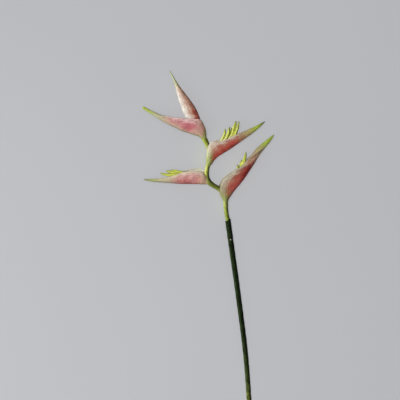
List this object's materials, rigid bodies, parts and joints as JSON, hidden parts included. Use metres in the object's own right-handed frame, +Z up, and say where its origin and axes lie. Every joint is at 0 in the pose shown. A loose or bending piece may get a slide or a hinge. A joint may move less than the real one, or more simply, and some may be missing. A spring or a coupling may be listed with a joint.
{
  "type": "heliconia stem",
  "caption": "Cut heliconia stem lying flat: green stalk, zigzag rachis, boat-shaped pink and red bracts with lime tips and small chartreuse florets.",
  "frame": {"origin": "centre of the stem's box, on the surface that it lies on", "axes": "+Y from the cut end towards the head, +Z up off the surface, +X to the right when seen from above"},
  "size_m": [0.262, 0.7483, 0.0253],
  "materials": {
    "stalk_green": "satin",
    "rachis_green": "satin",
    "bract_pink": "satin",
    "floret_green": "satin"
  },
  "bodies": {
    "root": {"stalk": "stalk_green", "rachis": "rachis_green", "bract_1": "bract_pink", "bract_2": "bract_pink", "bract_3": "bract_pink", "bract_4": "bract_pink", "bract_5": "bract_pink", "florets_1": "floret_green", "florets_2": "floret_green", "florets_3": "floret_green"}
  },
  "joints": []
}
